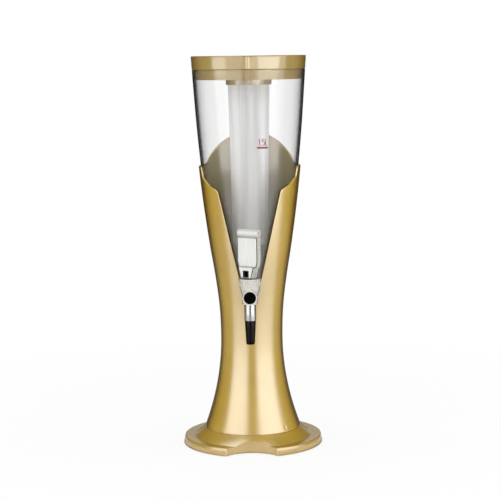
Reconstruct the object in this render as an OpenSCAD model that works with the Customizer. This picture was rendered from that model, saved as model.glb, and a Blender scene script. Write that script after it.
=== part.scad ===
// Table-top beer tower: a waisted gold column on a dished foot carries a clear
// tank in a V-shaped window. A lid with an ice tube closes the tank, and a
// spring-closed lever tap stands out through the bottom of the window.
// Millimetres, +Z up. The origin is on the tower's axis at table level, and the
// tap faces -Y.

/* [Tower] */
// Height of the whole tower
total_h = 520; // [500:1:540]
// Radius of the column where it stands on the foot
base_r = 64.6; // [63:0.1:66]
// Radius of the column at its waist
waist_r = 41.4; // [40.5:0.1:43]
// Height of the waist
waist_z = 145; // [140:1:150]
// Radius of the lid at its top edge
lid_r = 76.1; // [75:0.1:78]
// Wall of the column
column_t = 2.4; // [2:0.1:2.6]

/* [Foot] */
// Radius of the foot on the table
foot_r = 94; // [92:0.5:98]
// Height of the foot where the column stands on it
foot_h = 22.5; // [21:0.5:24]
// Radius of the notch for the glass
notch_r = 41.7; // [38:0.1:44]
// Distance from the tower's axis to the deepest point of the notch
notch_y = 70.5; // [66:0.5:72]
// Wall of the foot
foot_t = 2.6; // [2:0.1:3]

/* [Window in the column] */
// Height of the column's rim at the two sides
side_z = 375.5; // [372:0.5:380]
// Radius of the round arch at the back
arch_r = 65; // [63:0.5:67]
// Height of the arch's top
arch_top = 417; // [412:1:420]
// Radius of the round bottom of the V
slot_r = 10; // [9.8:0.1:11]
// Half of the V's angle
slot_angle = 12.85; // [12:0.05:13.5]

/* [Tank, lid and ice tube] */
// Height of the tank's underside
tank_z = 190; // [188:1:192]
// Wall of the tank
tank_t = 2.5; // [2:0.1:3]
// Height of the lid's skirt
lid_h = 18; // [16:1:20]
// Depth of the lid's plug inside the tank
plug_h = 13; // [10:1:16]
// Height of the ice tube's underside
ice_z = 268; // [260:1:290]
// Radius of the ice tube at its neck
ice_r = 27.5; // [26:0.1:28]
// Radius of the ice tube at its closed end
ice_end_r = 23.2; // [22:0.1:24]

/* [Tap] */
// Height of the tap's shank
shank_z = 211; // [210:0.5:212]
// Distance from the tower's axis to the tap's upright stem
stem_y = 81.5; // [80:0.5:84]
// Height of the lever's hinge pin
pin_z = 241.4; // [241.2:0.1:241.8]
// How far the lever's face is turned towards the left
lever_yaw = 32; // [0:1:45]
// How far the lever pulls forward
lever_pull = 30; // [25:1:30]
// How far the full pull lifts the valve
valve_lift = 3; // [2.5:0.1:3]
// Length of the lever, from the pin to the middle of its grip roll
lever_l = 52.3; // [48:0.1:56]
// Width of the lever's plate
lever_w = 29; // [26:0.5:30]

/* [Hidden] */

$fn = 96;
eps = 0.01;
big = 300;

gold = "#cfa850";
clear = [0.85, 0.92, 0.95, 0.35];
frosted = [0.88, 0.90, 0.92, 0.6];
silver = "#e2e2e0";
chrome = "#c8ccd0";
black = "#17181a";
steel = "#8f9498";

// The flare above the waist: [share of its height, share of its growth]
growth = [[0, 0], [0.107, 0.037], [0.213, 0.162], [0.333, 0.353], [0.467, 0.538],
          [0.587, 0.675], [0.76, 0.835], [1, 1]];
// Height of one band of a turned wall
band = 12;
// The tank stands this far inside the column's outer face, up to its brim
tank_in = 3;
tank_rim_z = total_h - lid_h;
tank_floor = 3;

// Foot, fastened from below
foot_edge = 1;
lip_in = 2.1;
lip_z = 11;
crease_in = 14.5;
crease_z = 10.8;
pad_r = 9;
pad_in = 0.8;
pad_ring = 80;
pad_angles = [50, 130, 230, 310];
plate_t = 2.5;
plate_top = foot_edge + plate_t;
plate_screw_ring = 70;
plate_screw_angles = [30, 90, 150, 212, 328];
plate_screw_r = 1.5;
boss_ring = 50;
boss_angles = [45, 135, 225, 315];
column_screw_r = 2;
deck_t = 2.6;
deck_z = foot_h - deck_t;
ballast_r = 43;
ballast_bore = 20;
ballast_h = 12;
thread_gap = 0.04;

// Ledge in the column that the tank stands on
ledge_r = 30;
ledge_t = 4;

// Tap, from the tank's wall to the front plug
tap_boss_r = 9.5;
tap_boss_y = 46.5;
tap_pad_r = 12;
tap_pad_y = 37.5;
tap_hole_r = 6.5;
washer_t = 1.5;
flange_t = 3;
flange_y = tap_boss_y + washer_t;
shank_r = 6.3;
shank_end_y = 27;
nut_t = 7;
nut_flats = 19;
way_r = 4;
barrel_r = 8.5;
ring_r = 9.5;
front_y = stem_y + 12.5;
ring_len = 6;
plug_r = 7.95;
plug_seat_y = front_y - 3.8;
front_bore = 5.8;

// Upright part of the tap, from the seat to the bonnet
body_z = shank_z - 9.6;
seat_z = shank_z - 6;
chamber_r = 7.5;
body_r = 10;
funnel_z = shank_z + 1.6;
collar_z = shank_z + 11.6;
collar_r = 13.4;
neck_r = 11;
neck_z = shank_z + 19;
seal_z = shank_z + 10;
seal_r = 9;
seal_t = 1.4;
bonnet_z = shank_z + 14;
bonnet_r = 14.6;
bonnet_top = shank_z + 24;
bonnet_roof = 3.5;
stem_r = 2.5;
run_gap = 0.06;
shoulder_z = seal_z + seal_t + 0.2;
spring_seat_z = shoulder_z + 1.2;
spring_r = 5;
wire_r = 0.4;
coils = 3.5;
spout_r = 7.6;
spout_bore = 6.05;
spout_end = shank_z - 31;
stub_z = shank_z - 23;
nozzle_end = shank_z - 62.4;
nozzle_top_r = 7.25;
nozzle_end_r = 5.6;
nozzle_bore = 3.5;

// Stem head and lever, measured from the hinge pin
pin_r = 1.5;
head_w = 7.8;
head_d = 8.4;
head_low = 4.9;
head_high = 4.1;
yoke_gap = 4.1;
yoke_front = 9.3;
yoke_back = 4.2;
yoke_top = 7.8;
yoke_wall = 7;
yoke_top_w = 21.7;
yoke_low_w = 14;
plate_skin = 1.4;
cam_gap = 0.3;
cam_low = pin_z - bonnet_top - cam_gap;
cam_k = valve_lift / (lever_pull * PI / 180);
slab_front = 5.3;
slab_back = 3.8;
slab_top = lever_l - 5.6;
grip_r = 4.9;
grip_rod_r = 3.6;
grip_y = 0.9;
grip_l = 30;

// ---- Curves ----

function chord(s, i) = (s[i + 1][1] - s[i][1]) / (s[i + 1][0] - s[i][0]);
function slope(s, i) = i == 0 ? 0 : i == len(s) - 1 ? chord(s, i - 1)
    : (s[i + 1][1] - s[i - 1][1]) / (s[i + 1][0] - s[i - 1][0]);
// Smooth curve through the stations s, level at the first one
function smooth(s, x, i = 0) = i < len(s) - 2 && x > s[i + 1][0] ? smooth(s, x, i + 1)
    : let (h = s[i + 1][0] - s[i][0], t = (x - s[i][0]) / h)
      s[i][1] * (1 + 2 * t) * (1 - t) ^ 2 + slope(s, i) * h * t * (1 - t) ^ 2
      + s[i + 1][1] * t ^ 2 * (3 - 2 * t) + slope(s, i + 1) * h * t ^ 2 * (t - 1);

// Outer radius of the tower's line at height z: a parabola below the waist
function form(z) = z < waist_z
    ? waist_r + (base_r - waist_r) * ((waist_z - z) / (waist_z - foot_h)) ^ 2
    : waist_r + (lid_r + tank_in - waist_r)
      * smooth(growth, (z - waist_z) / (total_h - waist_z));

// The line from z0 to z1, set in by d, in bands
function line(z0, z1, d) = let (n = ceil((z1 - z0) / band))
    [for (i = [0:n]) let (z = z0 + (z1 - z0) * i / n) [form(z) - d, z]];
function reversed(p) = [for (i = [len(p) - 1:-1:0]) p[i]];
// Half section of a wall of thickness t, and of a solid, both set in by d
function wall(z0, z1, d, t) = concat(line(z0, z1, d), reversed(line(z0, z1, d + t)));
function filled(z0, z1, d) = concat([[0, z0]], line(z0, z1, d), [[0, z1]]);

function unit(v) = v / norm(v);
// Arc of radius r that rounds the corner b between a and c
function rounded(a, b, c, r, n = 6) =
    let (u = unit(a - b), v = unit(c - b), half = acos(u * v) / 2,
         o = b + unit(u + v) * r / sin(half),
         p = b + u * r / tan(half) - o, q = b + v * r / tan(half) - o,
         a0 = atan2(p[1], p[0]), sweep = (atan2(q[1], q[0]) - a0 + 540) % 360 - 180)
    [for (i = [0:n]) o + r * [cos(a0 + sweep * i / n), sin(a0 + sweep * i / n)]];
function bent(a, b, c, n = 8) = [for (i = [0:n]) let (t = i / n)
    a * (1 - t) ^ 2 + b * 2 * t * (1 - t) + c * t ^ 2];

// ---- Shared shapes ----

module ring_of(angles, r) {
    for (a = angles) rotate([0, 0, a]) translate([r, 0, 0]) children();
}

module tube(z0, z1, r, bore) {
    translate([0, 0, z0]) difference() {
        cylinder(h = z1 - z0, r = r);
        translate([0, 0, -eps]) cylinder(h = z1 - z0 + 2 * eps, r = bore);
    }
}

// Round bar along the shank's axis; y counts forward from the tower's axis
module shank_bar(y0, y1, r) {
    translate([0, -y0, shank_z]) rotate([90, 0, 0]) cylinder(h = y1 - y0, r = r);
}

module at_stem() {
    translate([0, -stem_y, 0]) children();
}

// The lever's own frame: origin on the pin, face towards -Y before it is turned
module at_lever() {
    translate([0, -stem_y, pin_z]) rotate([0, 0, -lever_yaw]) children();
}

// Bar of width w across the lever, from a side outline of [y, z]
module across(w) {
    translate([-w / 2, 0, 0]) rotate([90, 0, 90]) linear_extrude(height = w) children();
}

// Prism through the lever from y0 to y1, from a front outline of [x, z]
module through(y0, y1) {
    translate([0, y1, 0]) rotate([90, 0, 0]) linear_extrude(height = y1 - y0) children();
}

// ---- Foot ----

// Half section of the foot's outside: drafted edge, level band, slightly hollow slope
// up to the column
function foot_line(d) =
    let (low = [foot_r - d, foot_edge], lip = [foot_r - lip_in - d, lip_z - d],
         crease = [foot_r - crease_in - d, crease_z - d])
    concat([low], rounded(low, lip, crease, 1.4, 4),
           bent(crease, [foot_r - 22.5 - d / 2, 15.7 - d], [base_r - 0.1 - d / 2, foot_h - d]));

module notch(r) {
    translate([0, -notch_y - notch_r, -1]) cylinder(h = foot_h + 2, r = r);
}

module foot_outside() {
    rotate_extrude() polygon(concat([[0, foot_edge]], foot_line(0), [[0, foot_h]]));
}

module foot_inside() {
    rotate_extrude()
        polygon(concat([[0, 0], [foot_r - foot_t, 0]], foot_line(foot_t), [[0, deck_z]]));
}

module foot() {
    spigot_h = 3.5;
    spigot_r = form(foot_h + spigot_h) - column_t - 0.3;
    color(gold) difference() {
        union() {
            difference() {
                foot_outside();
                foot_inside();
            }
            // Wall of the glass notch, bosses and ballast collar, all inside the shell
            intersection() {
                foot_outside();
                union() {
                    notch(notch_r + foot_t);
                    translate([0, 0, plate_top])
                        ring_of(plate_screw_angles, plate_screw_ring) cylinder(h = foot_h, r = 4);
                    tube(8, foot_h, ballast_r + 2.6, ballast_r + 0.4);
                    translate([0, 0, plate_top + ballast_h])
                        ring_of(boss_angles, 32) cylinder(h = 10, r = 3);
                }
            }
            tube(deck_z, foot_h + spigot_h, spigot_r, spigot_r - 2.2);
        }
        notch(notch_r);
        ring_of(boss_angles, boss_ring) cylinder(h = foot_h + 1, r = column_screw_r + 0.2);
        ring_of(plate_screw_angles, plate_screw_ring)
            cylinder(h = 12, r = plate_screw_r + thread_gap);
    }
}

module bottom_plate() {
    color(black) difference() {
        translate([0, 0, foot_edge]) cylinder(h = plate_t, r = foot_r - foot_t - 1.3);
        notch(notch_r + foot_t + 0.3);
        ring_of(pad_angles, pad_ring) cylinder(h = foot_edge + pad_in, r = pad_r + 0.1);
        ring_of(plate_screw_angles, plate_screw_ring) {
            cylinder(h = foot_h, r = plate_screw_r + 0.2);
            cylinder(h = foot_edge + 1.4, r = 3.2);
        }
    }
}

module foot_pads() {
    color("#303134") ring_of(pad_angles, pad_ring) cylinder(h = foot_edge + pad_in, r = pad_r);
}

module plate_screws() {
    color(steel) ring_of(plate_screw_angles, plate_screw_ring) {
        translate([0, 0, foot_edge + 0.2]) cylinder(h = 1.2, r = 3);
        translate([0, 0, foot_edge + 0.2]) cylinder(h = 9.6, r = plate_screw_r);
    }
}

module ballast_ring() {
    color(steel) tube(plate_top, plate_top + ballast_h, ballast_r, ballast_bore);
}

module column_screws() {
    color(steel) ring_of(boss_angles, boss_ring) {
        translate([0, 0, deck_z - 2.4]) cylinder(h = 2.4, r = 3.8);
        translate([0, 0, deck_z - 2.4]) cylinder(h = 18, r = column_screw_r);
    }
}

// ---- Column ----

// Front window, seen from the front: level sides, a drop, a sloping shoulder, then the V
// down to its round bottom
module window_outline() {
    tangent = slot_r * [cos(slot_angle), -sin(slot_angle)] + [0, shank_z];
    bottom = [for (a = [-slot_angle, -29, -46, -63, -80]) slot_r * [cos(a), sin(a)] + [0, shank_z]];
    shoulder_z = side_z - 29.7;
    shoulder = [tangent[0] + (shoulder_z - tangent[1]) * tan(slot_angle), shoulder_z];
    edge = [big / 2, side_z];
    lip = [64.4, side_z];
    drop = [61.6, side_z - 14];
    sag = [54.4, side_z - 21.9];
    right = concat([edge], rounded(edge, lip, drop, 2.5, 3), rounded(lip, drop, sag, 5, 4),
                   rounded(drop, sag, shoulder, 14, 3), rounded(sag, shoulder, tangent, 8, 6),
                   bottom);
    left = [for (p = reversed(right)) [-p[0], p[1]]];
    polygon(concat([[big / 2, big * 2]], right, left, [[-big / 2, big * 2]]));
}

// Back of the rim: level sides that run into a round arch
module arch_outline() {
    o = [0, arch_top - arch_r];
    foot_a = asin((side_z - o[1]) / arch_r);
    foot_of_arch = o + arch_r * [cos(foot_a), sin(foot_a)];
    edge = [big / 2, side_z];
    arch = [for (a = [foot_a + 7:6:90]) o + arch_r * [cos(a), sin(a)]];
    right = concat([edge], rounded(edge, foot_of_arch, arch[0], 9, 5), arch);
    left = [for (p = reversed(right)) [-p[0], p[1]]];
    polygon(concat([[big / 2, big * 2]], right, left, [[-big / 2, big * 2]]));
}

module column_openings() {
    // The two cuts overlap a little at the sides, where both are level
    translate([0, -0.5, 0]) rotate([90, 0, 0]) linear_extrude(height = big) window_outline();
    translate([0, big, 0]) rotate([90, 0, 0]) linear_extrude(height = big + 1) arch_outline();
}

module column() {
    boss_top = foot_h + 24;
    color(gold) difference() {
        union() {
            difference() {
                rotate_extrude() polygon(wall(foot_h, arch_top + 3, 0, column_t));
                column_openings();
            }
            // Ledge for the tank, its gussets and the screw bosses end inside the wall
            intersection() {
                rotate_extrude() polygon(filled(foot_h, tank_z, column_t / 2));
                union() {
                    tube(tank_z - ledge_t, tank_z, waist_r + 10, ledge_r);
                    for (a = [30:60:330]) rotate([0, 0, a])
                        translate([0, 1, 0]) rotate([90, 0, 0]) linear_extrude(height = 2)
                            polygon([[ledge_r + 2, tank_z - ledge_t], [waist_r + 2, tank_z - 24],
                                     [waist_r + 2, tank_z - ledge_t]]);
                    ring_of(boss_angles, boss_ring) {
                        cylinder(h = boss_top, r = 5);
                        translate([0, -1.2, foot_h + 5]) cube([20, 2.4, boss_top - foot_h - 5]);
                    }
                }
            }
        }
        ring_of(boss_angles, boss_ring) cylinder(h = boss_top - 3, r = column_screw_r + thread_gap);
    }
}

// ---- Tank, lid and ice tube ----

module tank() {
    corner = 3;
    foot_ring = form(tank_z) - tank_in;
    outside = concat([[0, tank_z], [foot_ring - corner, tank_z]],
                     line(tank_z + corner, tank_rim_z, tank_in), [[0, tank_rim_z]]);
    inside_z = tank_z + tank_floor;
    inner = tank_in + tank_t;
    inside = concat([[0, inside_z], [form(inside_z) - inner - corner, inside_z]],
                    line(inside_z + corner, tank_rim_z, inner),
                    [[form(tank_rim_z) - inner, tank_rim_z + 1], [0, tank_rim_z + 1]]);
    color(clear) difference() {
        union() {
            difference() {
                rotate_extrude() polygon(outside);
                rotate_extrude() polygon(inside);
            }
            // Flat pad inside and boss outside, for the tap's washers
            intersection() {
                rotate_extrude() polygon(outside);
                shank_bar(tap_pad_y, tap_boss_y, tap_pad_r);
            }
            shank_bar(tap_pad_y, tap_boss_y, tap_boss_r);
        }
        shank_bar(tap_pad_y - 1, tap_boss_y + 1, tap_hole_r);
    }
}

module lid() {
    roof = 3;
    edge = 1;
    plug_in = tank_in + tank_t + 0.4;
    socket_r = ice_r + 2.75;
    outline = concat(
        [[0, total_h], [form(total_h) - tank_in - edge, total_h],
         [form(total_h - edge) - tank_in, total_h - edge],
         [form(tank_rim_z) - tank_in, tank_rim_z], [form(tank_rim_z) - plug_in, tank_rim_z],
         [form(tank_rim_z - plug_h) - plug_in, tank_rim_z - plug_h]],
        [[form(tank_rim_z - plug_h) - plug_in - 2, tank_rim_z - plug_h],
         [form(total_h) - plug_in - 3, total_h - roof], [0, total_h - roof]]);
    color(gold) {
        rotate_extrude() polygon(outline);
        // Socket that the ice tube's neck screws into
        tube(tank_rim_z - 20, total_h - roof + eps, socket_r, ice_r + 0.1);
    }
}

neck_top = total_h - 5.5;

module ice_tube() {
    t = 2;
    neck_low = tank_rim_z - 24;
    end = [ice_end_r, ice_z];
    outside = concat([[0, ice_z]], rounded([0, ice_z], end, [ice_r, neck_low], 6),
                     [[ice_r, neck_low], [ice_r, neck_top], [0, neck_top]]);
    inside = concat([[0, ice_z + t]],
                    rounded([0, ice_z + t], end + [-t, t], [ice_r - t, neck_low], 4),
                    [[ice_r - t, neck_low], [ice_r - t, neck_top + 1], [0, neck_top + 1]]);
    color(frosted) rotate_extrude() difference() {
        polygon(outside);
        polygon(inside);
    }
}

module ice_tube_gasket() {
    color("#d8d8d4") tube(neck_top, total_h - 3, ice_r - 0.2, ice_r - 2.6);
}

// ---- Tap ----

module tap_washer_outer() {
    color(black) difference() {
        shank_bar(tap_boss_y, flange_y, 11.5);
        shank_bar(tap_boss_y - 1, flange_y + 1, shank_r + 0.1);
    }
}

module tap_washer_inner() {
    color(black) difference() {
        shank_bar(tap_pad_y - washer_t, tap_pad_y, 10);
        shank_bar(tap_pad_y - washer_t - 1, tap_pad_y + 1, shank_r + 0.1);
    }
}

module tap_locknut() {
    back = tap_pad_y - washer_t - nut_t;
    color(clear) difference() {
        translate([0, -back, shank_z]) rotate([90, 0, 0])
            cylinder(h = nut_t, r = nut_flats / 2 / cos(30), $fn = 6);
        shank_bar(back - 1, back + nut_t + 1, shank_r + thread_gap);
    }
}

// Upright half section of the valve body, from its stub to the threaded neck
module body_outline() {
    polygon([[0, stub_z], [6, stub_z], [6, body_z], [body_r, body_z], [body_r, funnel_z],
             [collar_r, collar_z], [collar_r, bonnet_z], [neck_r, bonnet_z], [neck_r, neck_z],
             [0, neck_z]]);
}

module valve_body() {
    color(clear) difference() {
        union() {
            shank_bar(shank_end_y, flange_y, shank_r);
            shank_bar(flange_y, flange_y + flange_t, tap_pad_r);
            // The flange runs out into the barrel
            translate([0, -flange_y - flange_t, shank_z]) rotate([90, 0, 0])
                cylinder(h = 4, r1 = tap_pad_r - 1, r2 = barrel_r);
            shank_bar(flange_y, front_y - ring_len, barrel_r);
            shank_bar(front_y - ring_len, front_y, ring_r);
            at_stem() rotate_extrude() body_outline();
        }
        shank_bar(shank_end_y - 1, stem_y, way_r);
        shank_bar(stem_y, front_y, front_bore);
        shank_bar(plug_seat_y, front_y + 1, plug_r + 0.05);
        at_stem() {
            translate([0, 0, stub_z - 1]) cylinder(h = seat_z - stub_z + 2, r = way_r);
            translate([0, 0, seat_z]) cylinder(h = neck_z - seat_z + 1, r = chamber_r);
            translate([0, 0, seal_z]) cylinder(h = neck_z - seal_z + 1, r = seal_r + 0.05);
        }
    }
}

module front_plug() {
    edge = 0.9;
    color(black) {
        shank_bar(plug_seat_y, front_y - edge, plug_r);
        translate([0, edge - front_y, shank_z]) rotate([90, 0, 0])
            cylinder(h = edge, r1 = plug_r, r2 = plug_r - edge);
        shank_bar(plug_seat_y - 0.9, plug_seat_y + eps, front_bore - 0.1);
    }
}

module spout_tube() {
    color(chrome) at_stem() tube(spout_end, body_z, spout_r, spout_bore);
}

module nozzle() {
    lip = [nozzle_end_r, nozzle_end];
    top = [nozzle_top_r, spout_end];
    color(black) at_stem() rotate_extrude()
        polygon(concat([[nozzle_bore, nozzle_end]],
                       rounded([nozzle_bore, nozzle_end], lip, top, 1.9), [top],
                       [[spout_bore - 0.05, spout_end], [spout_bore - 0.05, stub_z - 0.5],
                        [nozzle_bore, stub_z - 0.5]]));
}

module stem_seal() {
    color(frosted) at_stem() tube(seal_z, seal_z + seal_t, seal_r, stem_r + run_gap);
}

module bonnet() {
    rim_h = 3;
    roof_z = bonnet_top - bonnet_roof;
    color(clear) at_stem() difference() {
        union() {
            translate([0, 0, bonnet_z]) cylinder(h = bonnet_top - bonnet_z - 1, r = bonnet_r - 0.6);
            translate([0, 0, bonnet_top - rim_h]) cylinder(h = rim_h, r = bonnet_r);
        }
        translate([0, 0, bonnet_z - 1]) cylinder(h = roof_z - bonnet_z + 1, r = neck_r + 0.05);
        cylinder(h = big, r = stem_r + run_gap);
    }
}

// Centre line of the spring, then a tube of six-sided rings along it
spring_low = spring_seat_z + 0.6 + wire_r + 0.03;
spring_high = bonnet_top - bonnet_roof - wire_r - 0.03;
rings = coils * 8;
function coil_at(i) = let (a = 360 * coils * i / rings)
    [spring_r * cos(a), spring_r * sin(a), spring_low + (spring_high - spring_low) * i / rings];
// Least gap between points of the wire that are over half a turn apart
spring_gap = min([for (i = [0:rings], j = [i + 5:rings]) norm(coil_at(i) - coil_at(j))])
    - 2 * wire_r;
echo(spring_gap = spring_gap);

module return_spring() {
    sides = 6;
    skin = [for (i = [0:rings], s = [0:sides - 1])
        let (a = 360 * coils * i / rings, b = 360 * s / sides, out = spring_r + wire_r * cos(b))
        [out * cos(a), out * sin(a), coil_at(i)[2] + wire_r * sin(b)]];
    side = [for (i = [0:rings - 1], s = [0:sides - 1])
        let (p = i * sides + s, q = i * sides + (s + 1) % sides)
        each [[p, q, q + sides], [p, q + sides, p + sides]]];
    ends = [[for (s = [sides - 1:-1:0]) s], [for (s = [0:sides - 1]) rings * sides + s]];
    color(steel) at_stem() polyhedron(points = skin, faces = concat(side, ends));
}

// Silicone plug on the stem's end: a flat skirt on the seat and a nose in the outlet
module seat_cup() {
    top = seat_z + 7.5;
    color("#b9bdc0") at_stem() difference() {
        rotate_extrude()
            polygon([[0, seat_z - 1.8], [2.6, seat_z - 1.8], [way_r - 0.3, seat_z],
                     [6.3, seat_z], [6.3, seat_z + 4], [4.6, top], [0, top]]);
        translate([0, 0, seat_z + 2.4]) cylinder(h = 10, r = stem_r + run_gap);
        translate([0, 0, seat_z + 2.4]) cylinder(h = 2, r = stem_r + 0.8 + run_gap);
    }
}

module stem() {
    color(black) {
        difference() {
            union() {
                at_stem() {
                    translate([0, 0, seat_z + 2.5]) cylinder(h = pin_z - seat_z - 3, r = stem_r);
                    translate([0, 0, seat_z + 2.5]) cylinder(h = 1.8, r = stem_r + 0.8);
                    translate([0, 0, shoulder_z]) cylinder(h = spring_seat_z - shoulder_z, r = 4);
                }
                at_lever() translate([-head_w / 2, -head_d / 2, -head_low])
                    cube([head_w, head_d, head_low + head_high]);
            }
            at_lever() across(head_w + 2) circle(r = pin_r + 0.02);
        }
    }
}

module spring_washer() {
    color(steel) at_stem() tube(spring_seat_z, spring_seat_z + 0.6, 6.2, stem_r + run_gap);
}

module lever_pin() {
    color(steel) at_lever() across(16.4) circle(r = pin_r);
}

// ---- Lever ----

// The foot of the yoke is a cam. Its support distance grows evenly with the pull,
// so it lifts the stem evenly, and its face is the involute of a circle of radius cam_k.
function cam(a) = let (p = cam_low + cam_k * a * PI / 180)
    [-p * sin(a) - cam_k * cos(a), -p * cos(a) + cam_k * sin(a)];

module yoke_side() {
    polygon(concat([[yoke_back, yoke_top], [yoke_back, -cam_low + 0.8],
                    [yoke_back - 0.8, -cam_low]],
                   [for (a = [0:5:lever_pull]) cam(a)],
                   [[-yoke_front - 2, cam(lever_pull)[1] + 1], [-yoke_front - 2, yoke_top]]));
}

module yoke_front_outline() {
    low = -cam_low - 0.5;
    polygon([[-yoke_low_w / 2, low], [yoke_low_w / 2, low],
             [yoke_top_w / 2, yoke_top], [-yoke_top_w / 2, yoke_top]]);
}

// Part of the yoke between two distances in front of the pin
module yoke(y0, y1) {
    intersection() {
        across(yoke_top_w + 2) yoke_side();
        through(y0, y1) yoke_front_outline();
    }
}

module yoke_window(y0, y1) {
    translate([-4, y0, -4.1]) cube([8, y1 - y0, 8.2]);
}

// Front outline of the lever's blade, with its lower corners cut back
module blade_outline() {
    w = lever_w / 2;
    polygon([[2.2 - w, yoke_top], [w - 2.2, yoke_top], [w, yoke_top + 7.5], [w, slab_top],
             [-w, slab_top], [-w, yoke_top + 7.5]]);
}

module lever_frame() {
    skin = yoke_front - plate_skin;
    color(clear) at_lever() difference() {
        union() {
            yoke(-skin, yoke_back);
            through(-slab_front + 1.6, slab_back) blade_outline();
            // Neck and rod that the grip roll snaps over
            translate([-grip_l / 2 + 1, -grip_y - 1.5, slab_top - eps])
                cube([grip_l - 2, 3, lever_l - slab_top]);
            translate([0, -grip_y, lever_l]) rotate([0, 90, 0])
                cylinder(h = grip_l, r = grip_rod_r, center = true);
        }
        // Slot that the stem's head stands in, open behind and below
        translate([-yoke_gap, -yoke_wall, -20]) cube([2 * yoke_gap, 20, 20 + 6.4]);
        yoke_window(-20, -yoke_wall + eps);
        across(lever_w) circle(r = pin_r + run_gap);
    }
}

module lever_plate() {
    skin = yoke_front - plate_skin;
    color(silver) at_lever() difference() {
        union() {
            yoke(-yoke_front, -skin);
            // Shelf from the yoke's face back to the blade
            translate([-yoke_top_w / 2, -yoke_front, yoke_top])
                cube([yoke_top_w, yoke_front - slab_front + 1.6, 1.2]);
            through(-slab_front, -slab_front + 1.6) blade_outline();
        }
        yoke_window(-20, -skin + 1);
    }
}

module lever_roll() {
    color(silver) at_lever() difference() {
        translate([0, -grip_y, lever_l]) rotate([0, 90, 0])
            cylinder(h = grip_l, r = grip_r, center = true);
        translate([0, -grip_y, lever_l]) rotate([0, 90, 0])
            cylinder(h = grip_l + 2, r = grip_rod_r + 0.02, center = true);
        translate([-grip_l, -grip_y - 1.52, 0]) cube([2 * grip_l, 3.04, lever_l]);
    }
}

foot();
column();
ballast_ring();
bottom_plate();
foot_pads();
column_screws();
plate_screws();
tank();
tap_washer_outer();
tap_washer_inner();
tap_locknut();
valve_body();
front_plug();
spout_tube();
nozzle();
stem_seal();
bonnet();
return_spring();
seat_cup();
stem();
spring_washer();
lever_pin();
lever_frame();
lever_plate();
lever_roll();
lid();
ice_tube_gasket();
ice_tube();
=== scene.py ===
# %% [markdown]
# # A gold beer tower with a clear tank
#
# A table-top beer tower is a drink dispenser in three parts: a waisted gold column on
# a dished foot, a clear tapered tank that stands in the column's V-shaped window, and
# a lid with a frosted ice tube. A small lever tap comes out at the bottom of the V.
#
# The CAD frame says where every part is. This lesson dresses it: curved parts are made
# again as smooth surfaces with numpy, small fittings keep their CAD shape with softer
# edges, and every part gets a finish made of nodes.

# %% Load the frame
"""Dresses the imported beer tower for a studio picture.

A surface here is a grid of points that depend on two parameters. Most are turned: a
half section of [radius, height] is carried round an upright axis, so that a point is
x = r sin a, y = -r cos a, z = height. Lengths are millimetres until a mesh is made.
"""

import bmesh
import bpy
import numpy as np
from mathutils import Matrix, Vector


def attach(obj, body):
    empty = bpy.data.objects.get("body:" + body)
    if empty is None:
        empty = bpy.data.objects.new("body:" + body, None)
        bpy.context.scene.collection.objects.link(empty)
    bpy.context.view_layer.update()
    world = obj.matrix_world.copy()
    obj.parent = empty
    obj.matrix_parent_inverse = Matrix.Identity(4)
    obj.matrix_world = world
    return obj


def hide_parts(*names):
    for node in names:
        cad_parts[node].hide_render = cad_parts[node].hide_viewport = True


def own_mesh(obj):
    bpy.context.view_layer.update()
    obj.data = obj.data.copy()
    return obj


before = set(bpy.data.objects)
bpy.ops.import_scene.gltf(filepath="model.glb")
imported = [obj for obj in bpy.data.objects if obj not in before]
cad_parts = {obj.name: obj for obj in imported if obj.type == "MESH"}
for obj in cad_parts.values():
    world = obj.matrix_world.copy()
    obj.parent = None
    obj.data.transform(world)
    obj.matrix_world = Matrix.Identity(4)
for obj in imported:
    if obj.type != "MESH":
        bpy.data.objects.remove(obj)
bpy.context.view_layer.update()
MM = 0.001
print("CAD nodes:", len(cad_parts))

# %% [markdown]
# ## The camera
#
# The camera stood two metres in front of the tower with a long lens, level with the
# lid, a hair to the right and looking slightly down, and its picture leans a little. A
# Track To constraint could aim it, but its turns are known, so they are written
# straight into its matrix.

# %% Camera at the photograph's place
TILT = np.radians(7.24)
LEAN = np.radians(0.74)
ASIDE = np.radians(1.2)
EYE = (0, -2.036, 0.520)
FOCAL_PX = 1531
FRAME_PX = 500
SHIFT_PX = -0.75
SENSOR_MM = 36


def new_object(name, data):
    thing = bpy.data.objects.new(name, data)
    bpy.context.collection.objects.link(thing)
    return thing


lens = bpy.data.cameras.new("camera")
lens.sensor_width = SENSOR_MM
lens.lens = SENSOR_MM * FOCAL_PX / FRAME_PX
lens.shift_x = SHIFT_PX / FRAME_PX
lens.clip_end = 50
camera = new_object("camera", lens)
camera.matrix_world = (Matrix.Rotation(ASIDE, 4, "Z") @ Matrix.Translation(EYE)
                       @ Matrix.Rotation(np.pi / 2 - TILT, 4, "X")
                       @ Matrix.Rotation(-LEAN, 4, "Z"))
bpy.context.scene.camera = camera
print("lens", round(lens.lens, 1), "mm")

# %% [markdown]
# ## Node maths that reads like maths
#
# A finish is a small program on a surface. Writing it node by node hides the formula,
# so an output socket is wrapped in a class whose +, -, * and ** add Math nodes, and
# one method of the finish makes any node at all.

# %% Helpers for materials


def math_method(operation, swapped=False):
    """A method that makes a Math node of a wire and another wire or number."""
    def method(wire, other):
        terms = (other, wire) if swapped else (wire, other)
        return wire.finish.add("Math", {"operation": operation}, *terms)
    return method


class Wire:
    """A number, vector or colour on its way between nodes."""
    __add__ = __radd__ = math_method("ADD")
    __mul__ = __rmul__ = math_method("MULTIPLY")
    __sub__ = math_method("SUBTRACT")
    __rsub__ = math_method("SUBTRACT", swapped=True)
    __pow__ = math_method("POWER")
    largest = math_method("MAXIMUM")

    def __init__(self, finish, socket):
        self.finish, self.socket = finish, socket


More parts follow.
